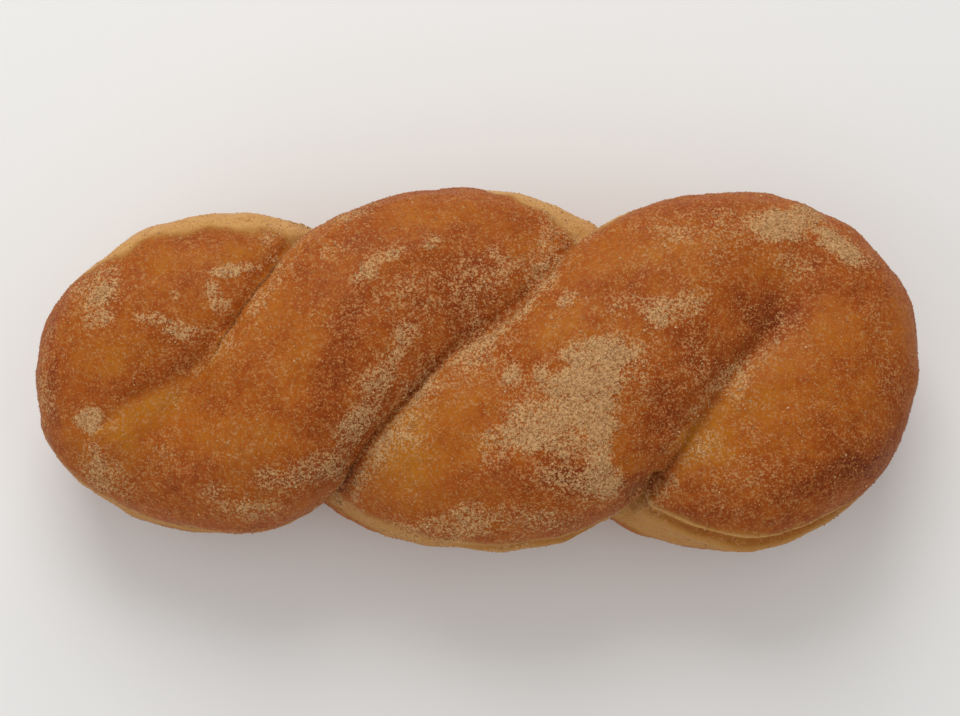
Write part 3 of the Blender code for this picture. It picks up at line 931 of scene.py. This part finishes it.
def scatter_nodes(name, sample, per_mm2, smallest, largest, tilt, seed):
    """A node group that puts copies of a sample on a mesh, as thick as its map of the same name says."""
    group = bpy.data.node_groups.new(name, "GeometryNodeTree")
    group.interface.new_socket("Geometry", in_out="INPUT", socket_type="NodeSocketGeometry")
    group.interface.new_socket("Geometry", in_out="OUTPUT", socket_type="NodeSocketGeometry")
    skin = add_node(group, "NodeGroupInput")
    share = add_node(
        group, "GeometryNodeInputNamedAttribute", {"Name": "share_" + name}, "Attribute", data_type="FLOAT")
    density = add_node(group, "ShaderNodeMath", {0: share, 1: per_mm2 / MM**2}, operation="MULTIPLY")
    points = add_node(
        group, "GeometryNodeDistributePointsOnFaces", {"Mesh": skin, "Density": density, "Seed": seed}, "Points")
    spin = add_node(
        group, "FunctionNodeRandomValue",
        {0: (-tilt, -tilt, 0.0), 1: (tilt, tilt, math.tau), "Seed": seed + 1}, 0, data_type="FLOAT_VECTOR")
    tumbled = add_node(
        group, "FunctionNodeRotateRotation", {0: points.node.outputs["Rotation"], 1: spin})
    size = add_node(
        group, "FunctionNodeRandomValue", {2: smallest, 3: largest, "Seed": seed + 2}, 1, data_type="FLOAT")
    one = add_node(
        group, "GeometryNodeObjectInfo", {"Object": sample}, "Geometry", transform_space="ORIGINAL")
    copies = add_node(
        group, "GeometryNodeInstanceOnPoints",
        {"Points": points, "Instance": one, "Rotation": tumbled, "Scale": size})
    tint = add_node(group, "FunctionNodeRandomValue", {"Seed": seed + 3}, 1, data_type="FLOAT")
    tinted = add_node(
        group, "GeometryNodeStoreNamedAttribute", {"Geometry": copies, "Name": "tint", "Value": tint},
        domain="INSTANCE", data_type="FLOAT")
    real = add_node(group, "GeometryNodeRealizeInstances", {0: tinted})
    add_node(group, "NodeGroupOutput", {0: real}, None)
    return group


def scatter(name, material, per_mm2, smallest, largest, tilt, seed):
    """Makes one piece: all the grains of one kind, as a mesh of their own."""
    only(crust)
    bpy.ops.object.duplicate()
    piece = bpy.context.object
    piece.name = name
    nodes = piece.modifiers.new("scatter", "NODES")
    nodes.node_group = scatter_nodes(name, samples[name], per_mm2, smallest, largest, tilt, seed)
    finish_modifier(piece, nodes)
    piece.data.materials.clear()
    piece.data.materials.append(material)
    piece.data.name = name
    piece.data.calc_loop_triangles()
    print(name, len(piece.data.loop_triangles), "triangles")
    return piece


print("scatter tools ready for", list(samples))

# %% [markdown]
# Where each kind lies depends on the same maps. Dry grains and clumps lie in the drifts, melted ones are
# everywhere that the warm crust wetted them, less so in the drifts and on the pale band, and cinnamon is mixed
# through the drifts. Each kind's share of the skin is stored as a map of its own before scattering.

# %% Where each kind lies
places, normals = read_points(crust)
sugar = read_map(crust, "sugar")
pale = read_map(crust, "pale")
upper = smoothstep(-0.5, 0.3, normals[:, 2])
off_floor = smoothstep(0.5, 1.2, places[:, 2])
dusted = smoothstep(0.3, 0.85, sugar)
less_underneath = 0.3 + 0.7 * upper
off_drifts = 1.0 - 0.7 * dusted
off_band = 1.0 - 0.9 * smoothstep(0.1, 0.6, pale)
shares = {
    "sugar_crystals": off_floor * (0.01 + 0.99 * dusted) * less_underneath,
    "sugar_grains": off_floor * (0.03 + 0.97 * dusted) * less_underneath,
    "sugar_dust": off_floor * (0.04 + 0.96 * smoothstep(0.2, 0.7, sugar)) * less_underneath,
    "melted_sugar": off_floor * (0.35 + 0.65 * upper) * off_drifts * off_band,
    "cinnamon_flecks": off_floor * dusted * (1.0 - 0.7 * smoothstep(0.7, 1.0, sugar)) * less_underneath,
    "sugar_clumps": off_floor * smoothstep(0.6, 0.98, sugar) * (0.2 + 0.8 * upper),
}
for name, share in shares.items():
    keep_map(crust, "share_" + name, share)
print({name: round(float(share.mean()), 3) for name, share in shares.items()})

# %% [markdown]
# ## Sugar and cinnamon
#
# Sugar is clear, but its small faces scatter light, so dusted sugar looks cream, and cinnamon tints it tan. The
# melted grains let the crust show through, so they take its colour, only lighter. Each grain's own tint keeps the
# coat from looking like paint. Crystalline sugar has an IOR of 1.54.

# %% Grain materials
SUGAR_IOR = 1.54
SUGAR_SPECULAR = 0.12


def grain_material(name, dark, light, roughness):
    """A grain's colour lies between two values, by its own tint."""
    material = bpy.data.materials.new(name)
    material.use_nodes = True
    tree = material.node_tree
    surface = tree.nodes["Principled BSDF"]
    for socket, value in (("Roughness", roughness), ("IOR", SUGAR_IOR), ("Specular IOR Level", SUGAR_SPECULAR)):
        surface.inputs[socket].default_value = value
    tint = add_node(tree, "ShaderNodeAttribute", output="Fac", attribute_name="tint")
    colour = add_node(tree, "ShaderNodeMix", {0: tint, 6: dark, 7: light}, 2, data_type="RGBA")
    tree.links.new(colour, surface.inputs["Base Color"])
    return material


dry_sugar = grain_material("cinnamon_sugar_dry", "#a3764a", "#d9b181", 0.7)
fine_sugar = grain_material("cinnamon_sugar_fine", "#9d6e40", "#d3a776", 0.75)
wet_sugar = grain_material("cinnamon_sugar_melted", "#a25e2b", "#c0884e", 0.6)
ground_cinnamon = grain_material("ground_cinnamon", "#4f2b10", "#714420", 0.85)
caked_sugar = grain_material("cinnamon_sugar_caked", "#b4895a", "#d1a775", 0.8)
print("grain materials ready")

# %% Scatter the grains
# kind, material, grains for each square millimetre, smallest and largest scale, tilt in radians, seed
GRAINS = (
    ("sugar_crystals", dry_sugar, 1.6, 0.6, 1.1, math.pi, 11),
    ("sugar_grains", fine_sugar, 2.6, 0.6, 1.15, 0.6, 21),
    ("sugar_dust", fine_sugar, 4.4, 0.6, 1.2, math.pi, 26),
    ("melted_sugar", wet_sugar, 1.6, 0.5, 1.2, 0.15, 31),
    ("cinnamon_flecks", ground_cinnamon, 1.2, 0.5, 1.1, 0.4, 41),
    ("sugar_clumps", caked_sugar, 0.4, 0.5, 1.2, 0.3, 51),
)

pieces = [scatter(*row) for row in GRAINS]
for sample in samples.values():
    bpy.data.objects.remove(sample)
print("triangles in all the grains", sum(len(piece.data.loop_triangles) for piece in pieces))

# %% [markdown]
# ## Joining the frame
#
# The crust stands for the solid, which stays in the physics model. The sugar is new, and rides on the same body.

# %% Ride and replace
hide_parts("twisted_doughnut")
for piece in [crust] + pieces:
    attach(piece, "root")
print("pieces on root:", [crust.name] + [piece.name for piece in pieces])

# %% [markdown]
# ## Floor, light and camera
#
# A plain pale floor catches a soft shadow. A large lamp behind gives the form its shading, a weaker one in front
# on the left keeps the near side open, and a white world fills the rest. The camera looks down at 80 degrees.

# %% Floor
FLOOR_SIZE = 3.0

bpy.ops.object.select_all(action="DESELECT")
bpy.ops.mesh.primitive_plane_add(size=FLOOR_SIZE, location=(0.0, 0.0, cad_box[0][2]))
floor = bpy.context.object
floor.name = "floor"
paper = bpy.data.materials.new("matt_white_paper")
paper.use_nodes = True
paper.node_tree.nodes["Principled BSDF"].inputs["Base Color"].default_value = linear("#f4f3f1")
paper.node_tree.nodes["Principled BSDF"].inputs["Roughness"].default_value = 0.9
floor.data.materials.append(paper)
print("floor at", round(floor.location.z, 4))

# %% Light
LAMP_AIM = Vector((0.0, 0.0, 0.02))
ROOM_LIGHT = 0.52


def soft_lamp(name, place, size, power):
    """A square lamp that points at the middle of the doughnut."""
    bpy.ops.object.light_add(type="AREA", location=place)
    lamp = bpy.context.object
    lamp.name = name
    lamp.data.size = size
    lamp.data.energy = power
    lamp.rotation_mode = "QUATERNION"
    lamp.rotation_quaternion = (LAMP_AIM - Vector(place)).to_track_quat("-Z", "Y")


soft_lamp("key_lamp", place=(-0.1, 0.67, 0.65), size=0.6, power=4.25)
soft_lamp("fill_lamp", place=(-0.65, -0.42, 0.55), size=0.8, power=1.35)
world = bpy.data.worlds.new("white_room")
bpy.context.scene.world = world
world.use_nodes = True
world.node_tree.nodes["Background"].inputs["Color"].default_value = linear("#ffffff")
world.node_tree.nodes["Background"].inputs["Strength"].default_value = ROOM_LIGHT
bpy.context.scene.view_settings.view_transform = "Standard"

# %% Camera
CAMERA_DISTANCE = 0.42
VIEW_WIDTH = 0.1672
VIEW_ELEVATION = math.radians(80.0)
AIM = Vector((0.0004, -0.0016, 0.0405))
SENSOR_WIDTH = 36.0

back = Vector((0.0, -math.cos(VIEW_ELEVATION), math.sin(VIEW_ELEVATION)))
bpy.ops.object.camera_add(location=AIM + back * CAMERA_DISTANCE)
camera = bpy.context.object
camera.rotation_mode = "QUATERNION"
camera.rotation_quaternion = (-back).to_track_quat("-Z", "Y")
camera.data.sensor_width = SENSOR_WIDTH
camera.data.lens = SENSOR_WIDTH * CAMERA_DISTANCE / VIEW_WIDTH
camera.data.clip_start = 10.0 * MM
bpy.context.scene.camera = camera
print("lens", round(camera.data.lens, 1), "mm")
